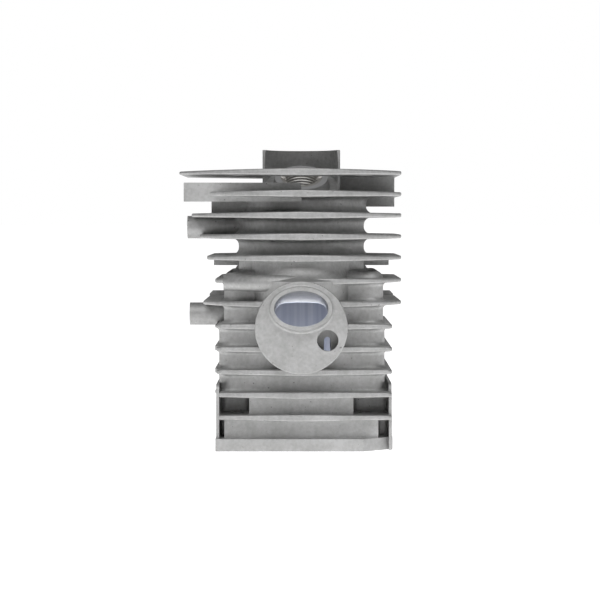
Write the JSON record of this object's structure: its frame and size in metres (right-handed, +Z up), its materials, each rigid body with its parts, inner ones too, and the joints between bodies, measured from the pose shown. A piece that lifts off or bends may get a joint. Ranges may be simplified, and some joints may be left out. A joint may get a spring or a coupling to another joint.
{
  "type": "two-stroke engine cylinder",
  "caption": "Bare air-cooled two-stroke cylinder with its finned head cast in one piece, a hard bore sleeve, an oval intake collar and a leaning spark plug seat.",
  "frame": {"origin": "on the bore axis, at the gasket face of the base flange", "axes": "+Z up the bore towards the crown, -Y towards the intake collar, +Y towards the exhaust flange, +X to the right when seen from the intake side"},
  "size_m": [0.0906, 0.0966, 0.1213],
  "materials": {
    "cast_aluminium": "blasted die casting, matt",
    "honed_hard_bore": "honed",
    "insert_steel": "turned"
  },
  "bodies": {
    "root": {"cylinder_casting": "cast_aluminium", "bore_sleeve": "honed_hard_bore", "spark_plug_thread_insert": "insert_steel", "exhaust_thread_inserts": "insert_steel", "side_boss_thread_inserts": "insert_steel"}
  },
  "joints": []
}
